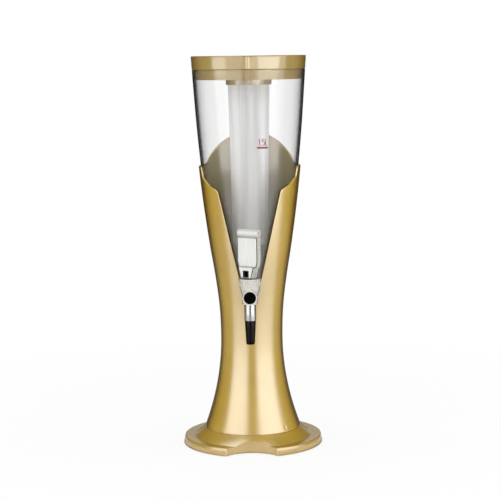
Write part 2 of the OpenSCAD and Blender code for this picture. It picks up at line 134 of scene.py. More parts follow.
class Finish:
    """A material, or the world, and the nodes that make its look."""

    def __init__(self, owner):
        self.owner = owner
        owner.use_nodes = True
        self.nodes = owner.node_tree.nodes
        self.links = owner.node_tree.links
        self.nodes.clear()
        self.where = None

    def add(self, kind, settings, *inputs, out=0, **named):
        """Make any node: its settings first, then the values or links of its sockets."""
        node = self.nodes.new("ShaderNode" + kind)
        for key, value in settings.items():
            setattr(node, key, value)
        numbered = list(zip(node.inputs, inputs))
        by_name = [(node.inputs[key.replace("_", " ")], v) for key, v in named.items()]
        for socket, value in numbered + by_name:
            if isinstance(value, Wire):
                self.links.new(value.socket, socket)
            elif value is not None:
                socket.default_value = value
        return Wire(self, node.outputs[out])

    def place(self):
        """Object coordinates, in metres, the same on every piece."""
        self.where = self.where or self.add("TexCoord", {}, out="Object")
        return self.where

    def stretched(self, scale):
        return self.add("Mapping", {}, Vector=self.place(), Scale=scale)

    def facing(self):
        """0 where the surface faces the ray, 1 where it is seen edge-on."""
        return self.add("LayerWeight", {}, Blend=0.5, out="Facing")

    def noise(self, scale, detail=2, where=None):
        return self.add("TexNoise", {}, Vector=where or self.place(), Scale=scale,
                        Detail=detail)

    def ramp(self, value, *stops):
        """Straight lines between stops, each (place, grey) or (place, colour)."""
        wire = self.add("ValToRGB", {}, value)
        spots = wire.socket.node.color_ramp.elements
        for i, (place, tone) in enumerate(stops):
            spot = spots[i] if i < len(spots) else spots.new(place)
            spot.position = place
            spot.color = (*(tone if isinstance(tone, tuple) else (tone,) * 3), 1)
        return wire

    def mixed(self, share, wire, colour):
        """From a wire's colour to another; the node's inputs 1 to 5 aren't for colours."""
        return self.add("Mix", {"data_type": "RGBA"}, share, *[None] * 5, wire, (*colour, 1),
                        out=2)

    def bump(self, height, distance, strength):
        return self.add("Bump", {}, Height=height, Distance=distance, Strength=strength)

    def principled(self, base, **named):
        return self.add("BsdfPrincipled", {}, Base_Color=base, **named)

    def mix_shader(self, share, first, second):
        return self.add("MixShader", {}, share, first, second)

    def show(self, shader):
        kind = "World" if isinstance(self.owner, bpy.types.World) else "Material"
        output = self.nodes.new("ShaderNodeOutput" + kind)
        self.links.new(shader.socket, output.inputs[0])
        return self.owner


def new_finish(name):
    return Finish(bpy.data.materials.new(name))


# %% [markdown]
# ## The studio
#
# Glossy paint and clear plastic mostly show the room, so it matters as much as the
# material. The backdrop behind the tower is white and the rest of the room is dark in
# reflections, which draws the thin dark line along the gold's outlines and the dark
# bands at the tank's edges; painted shade in both finishes deepens them. A picture of a
# studio could light it too, but a few ramps over the direction say the same.

# %% World
WHITE = (1, 1, 1, 1)
ROOM_GLOW = 0.30
ROOM_IN_GLOSS = 0.03
BACKDROP = (0.89, 0.0), (0.97, 1.0)
BACKDROP_BAND = (0.03, 0.0), (0.09, 0.8), (0.22, 0.8), (0.35, 0.0)


def make_world():
    """White to the camera, white behind the tower to gloss and glass, dim elsewhere."""
    world = Finish(bpy.data.worlds.new("studio"))
    path = world.add("LightPath", {}, out="Is Camera Ray")
    outputs = path.socket.node.outputs
    glossy = Wire(world, outputs["Is Glossy Ray"])
    through = Wire(world, outputs["Is Transmission Ray"])
    direction = world.add("TexCoord", {}, out="Generated")
    depth = world.add("SeparateXYZ", {}, direction, out="Y")
    height = Wire(world, depth.socket.node.outputs["Z"])
    behind = world.ramp(depth, *BACKDROP) * world.ramp(height, *BACKDROP_BAND)
    room = ROOM_GLOW - (ROOM_GLOW - ROOM_IN_GLOSS) * glossy.largest(through)
    white = path.largest(glossy.largest(through) * behind)
    glow = room + (1 - room) * white
    return world.show(world.add("Background", {}, Color=WHITE, Strength=glow))


bpy.context.scene.world = make_world()
bpy.context.scene.view_settings.view_transform = "Standard"
print("room glow:", ROOM_GLOW, "in gloss:", ROOM_IN_GLOSS)

# %% [markdown]
# The floor could be a white plane, but its far edge would show as a line. A pale disc
# that fades into the white of the world has none, and still takes the soft shadow.

# %% Floor
FLOOR_R = 1.2
FLOOR_SIDES = 96
FLOOR_WHITE = 0.86
FLOOR_IN_GLOSS = 0.15


def make_disc(radius, sides):
    """A flat disc round the origin: one face of many sides that looks up."""
    a = np.linspace(0, 2 * np.pi, sides, endpoint=False)
    rim = np.stack([radius * np.sin(a), radius * np.cos(a), 0 * a], 1)
    mesh = bpy.data.meshes.new("disc")
    mesh.from_pydata(rim.tolist(), [], [list(range(sides))[::-1]])
    return mesh


def make_floor():
    """A pale disc. For the camera its share of plain white grows from FLOOR_WHITE at
    the tower to 1, so the floor fades into the white of the world."""
    finish = new_finish("floor_paper")
    seen = finish.add("LightPath", {}, out="Is Camera Ray")
    glossy = Wire(finish, seen.socket.node.outputs["Is Glossy Ray"])
    reach = finish.add("VectorMath", {"operation": "LENGTH"}, finish.place(), out="Value")
    fade = finish.ramp(reach, (0.05, FLOOR_WHITE), (0.8, 1.0))
    fibres = finish.ramp(finish.noise(600, 2), (0.3, 0.84), (0.7, 0.88))
    lit = finish.add("BsdfDiffuse", {}, Color=fibres)
    # For gloss rays the floor is a painted pool of light: pale by the tower, dim beyond
    painted_gloss_pool = finish.ramp(reach, (0.11, 0.8), (0.20, FLOOR_IN_GLOSS))
    dim = finish.add("BsdfDiffuse", {}, Color=painted_gloss_pool)
    lit = finish.mix_shader(glossy, lit, dim)
    plain = finish.add("Emission", {}, Color=WHITE, Strength=1.0)
    floor = new_object("floor", make_disc(FLOOR_R, FLOOR_SIDES))
    floor.data.materials.append(finish.show(finish.mix_shader(seen * fade, lit, plain)))
    print("floor:", 2 * FLOOR_R, "m across")


make_floor()

# %% [markdown]
# Two tall soft boxes stand left and right of the camera with a dark gap between them,
# and wide ones at the sides fill the shadows. A photographer also holds up cards: two
# low ones show in the column's flare, and six small ones close to the lid give it bands
# of its own. Area lamps that only gloss sees do that without noise.

# %% Lamps and cards
AIM = Vector((0, 0, 0.26))
CARD = {"distance": 0.45, "height": 0.34, "centre_z": 0.15, "lights": False}
LID_CARD = {"distance": 0.30, "height": 0.08, "centre_z": 0.475, "lights": False}
BOX = {"distance": 0.80, "height": 1.05, "centre_z": 0.47, "radiance": 1.10}
FILL = {"distance": 1.25, "width": 0.80, "height": 2.2, "centre_z": 0.80,
        "mirrored": False}


def soft_box(name, turn, distance, width, height, centre_z, radiance, mirrored=True,
             lights=True):
    """An area lamp that faces the tower's axis. Its power is pi x area x radiance. One
    that isn't mirrored only fills shadows; one that doesn't light only shows in gloss."""
    lamp = bpy.data.lights.new(name, "AREA")
    lamp.shape = "RECTANGLE"
    lamp.size, lamp.size_y = width, height
    lamp.energy = np.pi * width * height * radiance
    holder = new_object(name, lamp)
    angle = np.radians(turn)
    spot = Vector((distance * np.sin(angle), -distance * np.cos(angle), centre_z))
    holder.location = spot
    holder.rotation_euler = (AIM - spot).to_track_quat("-Z", "Y").to_euler()
    holder.visible_camera = False
    holder.visible_glossy = mirrored
    holder.visible_diffuse = lights


soft_box("box_left", -42, width=0.93, **BOX)
soft_box("box_right", 46, width=1.04, **BOX)
soft_box("fill_left", -95, radiance=1.2, **FILL)
soft_box("fill_right", 97, radiance=1.5, **FILL)
soft_box("card_left", -40, width=0.44, radiance=0.62, **CARD)
soft_box("card_right", 50, width=0.60, radiance=0.80, **CARD)
for name, turn, width, radiance in (
        ("lid_left", -54, 0.155, 1.3), ("lid_right", 38, 0.220, 2.2),
        ("bridge_left", -6.9, 0.055, 0.6), ("bridge_right", 6.8, 0.062, 1.6),
        ("strip_left", -2.3, 0.0085, 5.0), ("strip_right", 1.55, 0.0085, 5.0)):
    soft_box(name, turn, width=width, radiance=radiance, **LID_CARD)
soft_box("box_top", 200, distance=0.5, width=1.2, height=1.2, centre_z=2.0, radiance=2.4)
print("lamps and cards:", len(bpy.data.lights))

# %% [markdown]
# ## The gold paint
#
# The tower is moulded plastic with a satin gold coat. Full Metallic would make every
# highlight gold too, but this is gold ground under pearly lacquer: its highlights are
# cream, and its edges go dark. So the ground is hardly metallic, and two clear layers
# of high index lie on it, one soft and one sharper. Seen edge-on the ground turns dark
# brown and mirrors less: partly the flop of such a paint, partly painted shade for the
# dark room that those edges would mirror. Tiny flakes change its colour, and a faint
# ripple keeps reflections from looking computed. Lid, foot and inner wall stand in
# other light, so each gets a copy of the paint whose colours are moved to match that
# light: painted light.

# %% Gold paint
# Dark brown that the gold goes to edge-on: partly flop, partly painted shade
FLOP_AND_EDGE_SHADE = (0.13, 0.065, 0.003)


def make_gold(name, deep, pale, soft, sharp, pearl=3.0, edge=FLOP_AND_EDGE_SHADE, metallic=0.1,
              fade=0.85):
    """Ground between deep and pale under a soft and a sharp layer; pearl is the index
    of the sharp one. Edge-on the colour goes to edge, partly flop and partly painted
    shade, and the sharp layer's weight is 1 - that edge-on share x fade."""
    finish = new_finish(name)
    flakes = finish.noise(5200, 1)
    cloud = finish.noise(28, 3)
    tone = finish.ramp(flakes * 0.55 + cloud * 0.45, (0.40, deep), (0.62, pale))
    facing = finish.facing()
    # Edge-on share: partly the paint's flop, partly painted shade along the outlines
    flop_and_shade = finish.ramp(facing, (0.42, 0.0), (0.56, 0.35), (0.67, 0.85), (0.8, 1.0))
    tone = finish.mixed(flop_and_shade, tone, edge)
    rough = cloud * 0.08 + (soft - 0.04) - flop_and_shade * 0.15
    ripple = finish.bump(finish.noise(420, 2) + flakes * 0.3, 0.00003, 0.5)
    shader = finish.principled(
        tone, Metallic=metallic, Roughness=rough, IOR=1.8, Coat_Weight=1 - flop_and_shade * fade,
        Coat_Roughness=sharp, Coat_IOR=pearl, Normal=ripple)
    return finish.show(shader)


gold = make_gold(
    "gold_paint", (0.638, 0.393, 0.012), (0.718, 0.448, 0.018), 0.40, 0.26, pearl=3.15)
# Lid, foot and inner wall: copies of the paint whose colours are moved to match their light,
# which is painted light; the inner wall's ground is far paler
gold_lid_painted_light = make_gold(
    "gold_lid_paint_with_painted_light", (0.40, 0.265, 0.055), (0.46, 0.315, 0.07), 0.42, 0.11, pearl=2.0,
    edge=(0.24, 0.14, 0.03))
gold_foot_painted_light = make_gold(
    "gold_foot_paint_with_painted_light", (0.55, 0.335, 0.006), (0.62, 0.38, 0.01), 0.40, 0.26, pearl=2.8,
    edge=(0.42, 0.26, 0.02), fade=0.35)
gold_inside_painted_light = make_gold(
    "gold_inside_paint_with_painted_light", (1.0, 0.74, 0.15), (1.0, 0.78, 0.20), 0.38, 0.20, pearl=3.4,
    edge=(0.45, 0.28, 0.05), metallic=0.0)
print("materials:", len(bpy.data.materials))

# %% [markdown]
# ## Clear plastic
#
# A true glass shader bends every ray and is grainy inside a closed tank. The wall is
# thin, so it is enough to let rays straight through, add the mirror of the room by
# Fresnel's law, and darken the wall where it is seen edge-on. That darkening is partly
# the long way the view runs through the wall there, and partly painted shade for the
# dark room that bent rays would show. Low down the tank also gets a pale veil where it
# faces the viewer: partly milkiness, partly painted light that brightens the dim inside.
# A thick fitting bends what is behind it into thin dark lines, drawn where noise passes
# through two narrow bands.

# %% Clear plastic
# Near-black colour of a wall seen edge-on: painted shade for the dark room bent rays would
# show
EDGE_ON_SHADE = 0.006
MILK = (0.92, 0.90, 0.86)
VEIL_LOW, VEIL_HIGH = 0.25, 0.42


def make_clear(name, tints, *edge, gloss=0.10, least=0.015, lined=0.0, veil_milk_and_light=0.0):
    """Clear wall: straight through, a mirror by Schlick's rule, least + (1 - least)
    facing^5, and a body that shows more, in the tints, the more the wall is edge-on;
    the dark edge-on tints are partly painted shade. Lined is how dark its inner lines
    are, and the last argument how much of a pale veil lies on it where it faces the
    viewer, fading from VEIL_LOW to VEIL_HIGH: partly milkiness, partly painted light."""
    finish = new_finish(name)
    ripple = finish.bump(finish.noise(90, 2), 0.00004, 0.4)
    facing = finish.facing()
    open_wall = finish.add("BsdfTransparent", {}, Color=WHITE)
    mirror = finish.add("BsdfGlossy", {}, Color=WHITE, Roughness=gloss, Normal=ripple)
    film = finish.mix_shader(facing ** 5 * (1 - least) + least, open_wall, mirror)
    bends = finish.noise(1, 2, finish.stretched((210, 210, 130)))
    bends = finish.ramp(bends, (0.37, 0.0), (0.42, 1.0), (0.47, 0.0), (0.54, 0.0),
                        (0.58, 0.8), (0.62, 0.0))
    tone = finish.mixed(bends * lined, finish.ramp(facing, *tints), (0.10, 0.085, 0.06))
    body = finish.principled(tone, Roughness=0.06, IOR=1.49, Normal=ripple)
    height = finish.add("SeparateXYZ", {}, finish.place(), out="Z")
    # Pale veil where the inner wall faces the viewer, low down: partly milkiness, partly
    # painted light for the dim inside
    veil = finish.ramp(facing, (0.0, veil_milk_and_light), (0.12, veil_milk_and_light * 0.7), (0.26, 0.0))
    veil = veil * finish.ramp(height, (VEIL_LOW, 1.0), (0.36, 0.3), (VEIL_HIGH, 0.0))
    return finish.show(finish.mix_shader(finish.ramp(facing, *edge) + veil, film, body))


clear_outside = make_clear(
    "clear_plastic_outside",
    [(0, 0.4), (0.55, 0.10), (0.66, EDGE_ON_SHADE)],
    (0, 0.0), (0.15, 0.012), (0.24, 0.03), (0.40, 0.06), (0.55, 0.12), (0.64, 0.22),
    (0.73, 0.5), (0.80, 0.98))
clear_inside = make_clear(
    "clear_plastic_inside", [(0, MILK), (0.7, 0.5), (0.85, EDGE_ON_SHADE)],
    (0, 0.05), (0.4, 0.06), (0.7, 0.08), (0.9, 0.4), veil_milk_and_light=0.26)
clear_fitting = make_clear(
    "clear_fitting",
    [(0, (0.97, 0.94, 0.86)), (0.50, (0.72, 0.69, 0.61)), (0.78, (0.12, 0.10, 0.07))],
    (0, 0.74), (0.4, 0.76), (0.8, 0.95), gloss=0.08, least=0.06, lined=0.35)
print("materials:", len(bpy.data.materials))

# %% [markdown]
# ## The other finishes
#
# The ice tube is frosted, so it scatters, and its mould leaves faint upright streaks.
# The lever is plated plastic, the spout is chromed, and the rest is plastic, rubber,
# silicone and steel. A flat colour looks computed, so each changes in tone and
# roughness at the size that the real one shows.

# %% Frosted, plated, black and rubber finishes


def make_frosted(name):
    """Pale satin plastic whose noise is stretched into streaks. A third of it is open
    where it faces the viewer, and less edge-on."""
    finish = new_finish(name)
    streaks = finish.noise(1, 3, finish.stretched((95, 95, 3)))
    tone = finish.ramp(streaks, (0.38, (0.78, 0.78, 0.79)), (0.62, 1.0))
    grain = finish.bump(finish.noise(2400, 1), 0.00003, 0.4)
    shader = finish.principled(tone, Roughness=streaks * 0.15 + 0.4, Normal=grain)
    open_wall = finish.add("BsdfTransparent", {}, Color=WHITE)
    share = finish.facing() * 0.2 + 0.68
    return finish.show(finish.mix_shader(share, open_wall, shader))


def make_plain(name, dark, light, metallic, rough, scale, depth=0.00002, stretch=(1, 1, 1),
               shine=0.5, rim=0.0):
    """A finish whose noise moves its tone, roughness and fine bump together. Rim is how
    far its colour, or grey, goes to black edge-on: painted reflection of a dark room."""
    finish = new_finish(name)
    grain = finish.noise(scale, 2, finish.stretched(stretch))
    tone = finish.ramp(grain, (0.35, dark), (0.65, light))
    edge_reflection_share = finish.ramp(finish.facing(), (0.45, 0.0), (0.72, rim))
    tone = finish.mixed(edge_reflection_share, tone, (0, 0, 0))
    shader = finish.principled(
        tone, Metallic=metallic, Roughness=grain * rough * 0.4 + rough * 0.8,
        Specular_IOR_Level=shine, Normal=finish.bump(grain, depth, 0.5))
    return finish.show(shader)


frosted = make_frosted("frosted_plastic")
silver = make_plain(
    "silver_plating", (0.70, 0.70, 0.67), (0.79, 0.79, 0.76), 0.2, 0.34, 900, 0.000004,
    (1, 1, 0.05), shine=0.4)
# Nearly black: painted shade in the lever's gaps and on its shaded sides
painted_gap_shadow = make_plain("painted_gap_shadow", 0.012, (0.03, 0.03, 0.028), 0.0, 0.5, 900)
# Chrome's edges go nearly black: painted reflection of the dark room
chrome = make_plain(
    "chrome", (0.58, 0.575, 0.55), (0.66, 0.655, 0.63), 0.75, 0.13, 300, 0.000003, rim=0.9)
gloss_black = make_plain("gloss_black", 0.001, 0.003, 0.0, 0.12, 220, 0.000004, shine=0.2)
black = make_plain(
    "black_plastic", (0.003, 0.0015, 0.001), (0.007, 0.004, 0.003), 0.0, 0.13, 1500,
    shine=0.2)
pad_rubber = make_plain("pad_rubber", 0.02, 0.045, 0.0, 0.75, 1800, 0.00005)
seal_rubber = make_plain(
    "seal_rubber", (0.010, 0.010, 0.011), 0.03, 0.0, 0.6, 1600, 0.00003)
silicone = make_plain("silicone", (0.46, 0.47, 0.48), (0.58, 0.59, 0.60), 0.0, 0.5, 900)
steel = make_plain(
    "steel", (0.42, 0.43, 0.45), (0.60, 0.61, 0.62), 1.0, 0.32, 1100, 0.000008, (1, 1, 0.2))
mark_red = make_plain("mark_red", (0.24, 0.006, 0.02), (0.34, 0.012, 0.032), 0.0, 0.5, 1500)
print("materials:", len(bpy.data.materials))

# %% [markdown]
# ## Surfaces from arrays
#
# A turned part could be a curve with a Screw modifier, but grids of points serve every
# piece here. Numbering a grid's points gives all its four-sided faces by slicing that
# array, and a weld closes seams and poles. A sharp corner would look like paper, so
# the corners of a section are rounded first.

# %% Line and grid helpers


def softened(points, radius, steps=5, closed=False):
    """Round the corners of a line. The reach of a corner is radius / tan(half its
    angle), and between the spots that far before and after it the line is their
    parabola: (1 - t)^2 before + 2 t (1 - t) corner + t^2 after."""
    p = np.asarray(points, float)
    back, ahead = np.roll(p, 1, 0) - p, np.roll(p, -1, 0) - p
    lengths = [np.maximum(np.linalg.norm(v, axis=1), 1e-9) for v in (back, ahead)]
    back, ahead = back / lengths[0][:, None], ahead / lengths[1][:, None]
    half = np.arccos(np.clip((back * ahead).sum(1), -1, 1)) / 2
    reach = np.divide(radius, np.tan(np.maximum(half, 0.05)))
    reach = np.minimum(reach, 0.48 * np.minimum(*lengths))[:, None]
    t = np.linspace(0, 1, steps)[None, :, None]
    before, after = p + back * reach, p + ahead * reach
    bends = (before[:, None] * (1 - t) ** 2 + p[:, None] * 2 * t * (1 - t)
             + after[:, None] * t ** 2)
    if closed:
        return bends.reshape(-1, p.shape[1])
    return np.vstack([p[:1], bends[1:-1].reshape(-1, p.shape[1]), p[-1:]])


def run_along(points):
    """How far along the line each of its points lies."""
    steps = np.linalg.norm(np.diff(points, axis=0), axis=1)
    return np.concatenate([[0], np.cumsum(steps)])


def spaced(points, step):
    """The same line with a point about every step, by straight interpolation."""
    run = run_along(points)
    at = np.linspace(0, run[-1], max(2, int(np.ceil(run[-1] / step)) + 1))
    return np.stack([np.interp(at, run, points[:, i]) for i in range(points.shape[1])], 1)


def unit(vectors):
    """The same rows, each made one unit long."""
    return vectors / np.linalg.norm(vectors, axis=1, keepdims=True)


def on_wall(height, a, radius):
    """[r sin a, -r cos a, height]: points at heights, angles from the front, and radii."""
    return np.stack([radius * np.sin(a), -radius * np.cos(a), height + 0 * a], -1)


def turned(section, sides=160, y=0.0):
    """Carry [radius, height] round the upright axis at (0, y)."""
    radius, height = np.asarray(section, float).T[:, :, None]
    a = np.linspace(0, 2 * np.pi, sides, endpoint=False)
    return on_wall(height, a, radius) + [0, y, 0]


def turned_forward(section, height, sides=96):
    """Carry [radius, distance to the front] round the level axis at that height."""
    x, y, ahead = np.moveaxis(turned(section, sides), -1, 0)
    return np.stack([x, -ahead, height - y], -1)


def grid_faces(rows, columns, wrap_rows, wrap_columns, first):
    """Four-sided faces of a grid whose points are numbered row by row from first."""
    n = first + np.arange(rows * columns).reshape(rows, columns)
    n = np.vstack([n, n[:1]]) if wrap_rows else n
    n = np.hstack([n, n[:, :1]]) if wrap_columns else n
    return np.stack([n[:-1, :-1], n[:-1, 1:], n[1:, 1:], n[1:, :-1]], -1).reshape(-1, 4)


# %% Mesh and piece helpers
WELD = 2e-6


def make_mesh(name, grids, upwards=False):
    """One mesh of several grids, each (points, wrap_rows, wrap_columns), welded. Its
    faces are turned outwards; an open sheet is turned so that it faces up."""
    points, faces, first = [], [], 0
    for grid, wrap_rows, wrap_columns in grids:
        faces.append(grid_faces(*grid.shape[:2], wrap_rows, wrap_columns, first))
        points.append(grid.reshape(-1, 3) * MM)
        first += grid.shape[0] * grid.shape[1]
    mesh = bpy.data.meshes.new(name)
    mesh.from_pydata(np.vstack(points).tolist(), [], np.vstack(faces).tolist())
    shell = bmesh.new()
    shell.from_mesh(mesh)
    bmesh.ops.remove_doubles(shell, verts=shell.verts, dist=WELD)
    bmesh.ops.recalc_face_normals(shell, faces=shell.faces)
    if upwards and sum(f.normal.z * f.calc_area() for f in shell.faces) < 0:
        bmesh.ops.reverse_faces(shell, faces=shell.faces)
    shell.to_mesh(mesh)
    shell.free()
    return mesh


def finish_piece(mesh, finish, body, replaced=(), crease=38):
    """Show a mesh as a piece: smooth but for creases, riding on its body."""
    mesh.materials.clear()
    mesh.materials.append(finish)
    mesh.shade_smooth()
    mesh.set_sharp_from_angle(angle=np.radians(crease))
    piece = new_object(mesh.name, mesh)
    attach(piece, body)
    if replaced:
        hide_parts(*replaced)
    print(mesh.name, len(mesh.polygons), "faces")
    return piece


def bevelled(piece, width, angle=35):
    """Round every edge sharper than the angle, with a bevel of that width."""
    edge = piece.modifiers.new("soft_edges", "BEVEL")
    edge.width = width * MM
    edge.segments = 3
    edge.limit_method = "ANGLE"
    edge.angle_limit = np.radians(angle)
    edge.harden_normals = True
    return piece


def turned_piece(name, section, radius, finish, body, replaced=(), y=0.0, sides=160,
                 closed=False):
    """A turned solid from the corners of its half section, each rounded by radius."""
    section = softened(section, radius, closed=closed)
    mesh = make_mesh(name, [(turned(section, sides, y), closed, True)])
    return finish_piece(mesh, finish, body, replaced)


# %% [markdown]
# A piece may carry more than one finish. Splitting the mesh would leave a seam, so
# whole faces are given to a finish by where they lie or which way they look.

# %% Helpers that give faces a finish


def per_face(piece, what):
    """The centre or the normal of every face, as an array of [x, y, z]."""
    faces = piece.data.polygons
    values = np.zeros(len(faces) * 3)
    faces.foreach_get(what, values)
    return values.reshape(-1, 3)


def give_faces(piece, chosen, finish):
    """Add a finish to a piece and give it the faces that the array chosen marks."""
    faces = piece.data.polygons
    index = np.zeros(len(faces), np.int32)
    faces.foreach_get("material_index", index)
    index[chosen] = len(piece.data.materials)
    piece.data.materials.append(finish)
    faces.foreach_set("material_index", index)
    print(piece.name, "gives", int(chosen.sum()), "faces to", finish.name)


# %% [markdown]
# ## The line of the tower
#
# Column, tank and lid share one outline, narrow at the waist and wide at foot and lid.
# Below the waist it is a parabola. Above, the radius grows along a smooth curve through
# a few stations: a cubic between each two, whose slope at a station is that of the
# chord between its neighbours.

# %% The tower's radius at a height
WAIST_R, WAIST_Z = 41.4, 145.0
BASE_R, FOOT_H = 64.6, 22.5
TOP_R, TOTAL_H = 79.1, 520.0
TANK_Z, RIM_Z, TANK_IN, TANK_T = 190.0, 502.0, 3.0, 2.5
GROWTH = np.array([[0, 0], [0.107, 0.037], [0.213, 0.162], [0.333, 0.353], [0.467, 0.538],
                   [0.587, 0.675], [0.76, 0.835], [1, 1]])


def form(z):
    """Outer radius of the tower's line at height z."""
    z = np.asarray(z, float)
    low = WAIST_R + (BASE_R - WAIST_R) * ((WAIST_Z - z) / (WAIST_Z - FOOT_H)) ** 2
    share, growth = GROWTH.T
    slope = np.zeros(len(share))
    slope[1:-1] = (growth[2:] - growth[:-2]) / (share[2:] - share[:-2])
    slope[-1] = (growth[-1] - growth[-2]) / (share[-1] - share[-2])
    x = np.clip((z - WAIST_Z) / (TOTAL_H - WAIST_Z), 0, 1)
    i = np.clip(np.searchsorted(share, x) - 1, 0, len(share) - 2)
    h = share[i + 1] - share[i]
    t = (x - share[i]) / h
    rise = (growth[i] * (1 + 2 * t) * (1 - t) ** 2 + slope[i] * h * t * (1 - t) ** 2
            + growth[i + 1] * t ** 2 * (3 - 2 * t) + slope[i + 1] * h * t ** 2 * (t - 1))
    return np.where(z < WAIST_Z, low, WAIST_R + (TOP_R - WAIST_R) * rise)


def line(z0, z1, inset, step=5.0):
    """[radius, height] of the tower's line from z0 to z1, set in by inset."""
    z = np.linspace(z0, z1, int(abs(z1 - z0) / step) + 2)
    return np.stack([form(z) - inset, z], 1)


print("radius at the rim:", round(float(form(RIM_Z)), 1), "mm")

# %% [markdown]
# ## The column
#
# The column is one moulded shell whose rim runs from the bottom of the V up to the
# shoulders, round the sides and over a round arch at the back. A Boolean would leave
# a ragged edge, so the rim is worked out first: its outline, seen from the front, is
# wrapped onto the turned wall. Each line of the grid then climbs from the foot to its
# own spot on that rim, goes over a half-round lip, and comes down inside to the ledge
# that carries the tank.

# %% The rim of the column
COLUMN_T = 2.4
SLOT_R, SLOT_Z, SLOT_ANGLE = 10.0, 211.0, np.radians(12.85)
SIDE_Z, ARCH_R, ARCH_TOP, ARCH_ROUND = 375.5, 65.0, 417.0, 9.0
# The shoulder's corners as [x, drop below the sides], and how far each is rounded
SHOULDER_DROP = 29.7
SHOULDER = np.array([[54.4, 21.9], [61.6, 14.0], [64.4, 0.0]])
SHOULDER_ROUND = [0, 8, 14, 5, 2.5, 0]
RIM_STEP, RIM_POINTS = 0.5, 250
FAR = 150.0
IN_FRONT = 0.9995


def window_line():
    """Right half of the window as [x, z]: round bottom, sloping side, shoulder."""
    a = np.linspace(-np.pi / 2, -SLOT_ANGLE, 24)
    bottom = np.stack([SLOT_R * np.cos(a), SLOT_Z + SLOT_R * np.sin(a)], 1)
    start = bottom[-1]
    turn_z = SIDE_Z - SHOULDER_DROP
    turn = [start[0] + (turn_z - start[1]) * np.tan(SLOT_ANGLE), turn_z]
    shoulder = SHOULDER * [1, -1] + [0, SIDE_Z]
    side = softened([start, turn, *shoulder, [FAR, SIDE_Z]], SHOULDER_ROUND, 9)
    return spaced(np.vstack([bottom, side[1:]]), RIM_STEP)


def arch_line():
    """Right half of the arch at the back as [x, z], from far outside to its top."""
    centre = ARCH_TOP - ARCH_R
    a = np.linspace(np.arcsin((SIDE_Z - centre) / ARCH_R), np.pi / 2, 40)
    arch = np.stack([ARCH_R * np.cos(a), centre + ARCH_R * np.sin(a)], 1)
    corners = np.vstack([[[FAR, SIDE_Z]], arch[:1], arch[5:]])
    reach = np.zeros(len(corners))
    reach[1] = ARCH_ROUND
    return spaced(softened(corners, reach, 9), RIM_STEP)


def angle_on_wall(outline):
    """Angle and height of an outline's points on the wall: sine = x / radius(z)."""
    x, z = outline[outline[:, 0] < form(outline[:, 1]) * IN_FRONT].T
    return np.arcsin(x / form(z)), z


def rim_half():
    """Angle and height of the rim's right half, evenly spaced. The arch's own angles
    are counted from the back."""
    front_a, front_z = angle_on_wall(window_line())
    back_a, back_z = angle_on_wall(arch_line())
    side_a = np.linspace(front_a[-1], np.pi - back_a[0], 40)[1:-1]
    angle = np.concatenate([front_a, side_a, np.pi - back_a])
    height = np.concatenate([front_z, np.full(len(side_a), SIDE_Z), back_z])
    run = run_along(on_wall(height, angle, form(height)))
    at = np.linspace(0, run[-1], RIM_POINTS)
    return np.interp(at, run, angle), np.interp(at, run, height)


half_angle, half_height = rim_half()
rim_angle = np.concatenate([half_angle, 2 * np.pi - half_angle[-2:0:-1]])
rim_height = np.concatenate([half_height, half_height[-2:0:-1]])
print("rim points:", len(rim_angle))

# %% [markdown]
# The lip needs a direction that lies in the wall and points into the opening: the
# cross product of the wall's normal and the rim's own direction. Near the foot, four
# shallow sink marks show where the screw bosses stand behind the wall.

# %% Column piece
LEDGE_R, LEDGE_T = 30.0, 4.0
BOSS_RING, BOSS_R, BOSS_TOP = 50.0, 5.0, 46.5
BOSS_ANGLES = np.radians([45, 135, 225, 315])
BASE_ROUND = 0.8
SINK_DEPTH, SINK_Z, SINK_HALF_W, SINK_HALF_H = 0.5, 28.5, 1.7, 2.6
# Up to this height the rows are level and close, to carry the sink marks
LEVEL_Z = 44.0


def make_lip():
    """Half-round rows over the rim: centre + r (normal cos a + inwards sin a). The
    wall's normal is [sin angle, -cos angle, -slope], made one unit long."""
    rim = on_wall(rim_height, rim_angle, form(rim_height))
    slope = form(rim_height + 0.5) - form(rim_height - 0.5)
    normal = unit(on_wall(-slope, rim_angle, 1))
    inwards = unit(np.cross(normal, np.roll(rim, -1, 0) - np.roll(rim, 1, 0)))
    r = COLUMN_T / 2
    a = np.linspace(0, np.pi, 9)[:, None, None]
    return rim - r * (inwards + normal) + r * (normal * np.cos(a) + inwards * np.sin(a))


def make_outside(outer):
    """Rows from a small round at the foot to the lip's outer edge. A sink mark is a bell,
    depth x exp(-(aside / half width)^2 - (rise / half height)^2)."""
    angle = np.arctan2(outer[:, 0], -outer[:, 1])
    low = FOOT_H + BASE_ROUND
    share = np.linspace(0, 1, 76)[1:-1, None]
    z = np.vstack([np.linspace(low, LEVEL_Z, 16)[:, None] + 0 * angle,
                   LEVEL_Z + (outer[:, 2] - LEVEL_Z) * share])
    aside = (angle % (np.pi / 2) - np.pi / 4) * form(z)
    bell = np.exp(-(aside / SINK_HALF_W) ** 2 - ((z - SINK_Z) / SINK_HALF_H) ** 2)
    a = np.linspace(0, np.pi / 2, 4)[:-1, None]
    base_z = FOOT_H + BASE_ROUND * (1 - np.cos(a))
    base_r = form(low) - BASE_ROUND * (1 - np.sin(a))
    return np.concatenate([on_wall(base_z, angle, base_r),
                           on_wall(z, angle, form(z) - SINK_DEPTH * bell)])


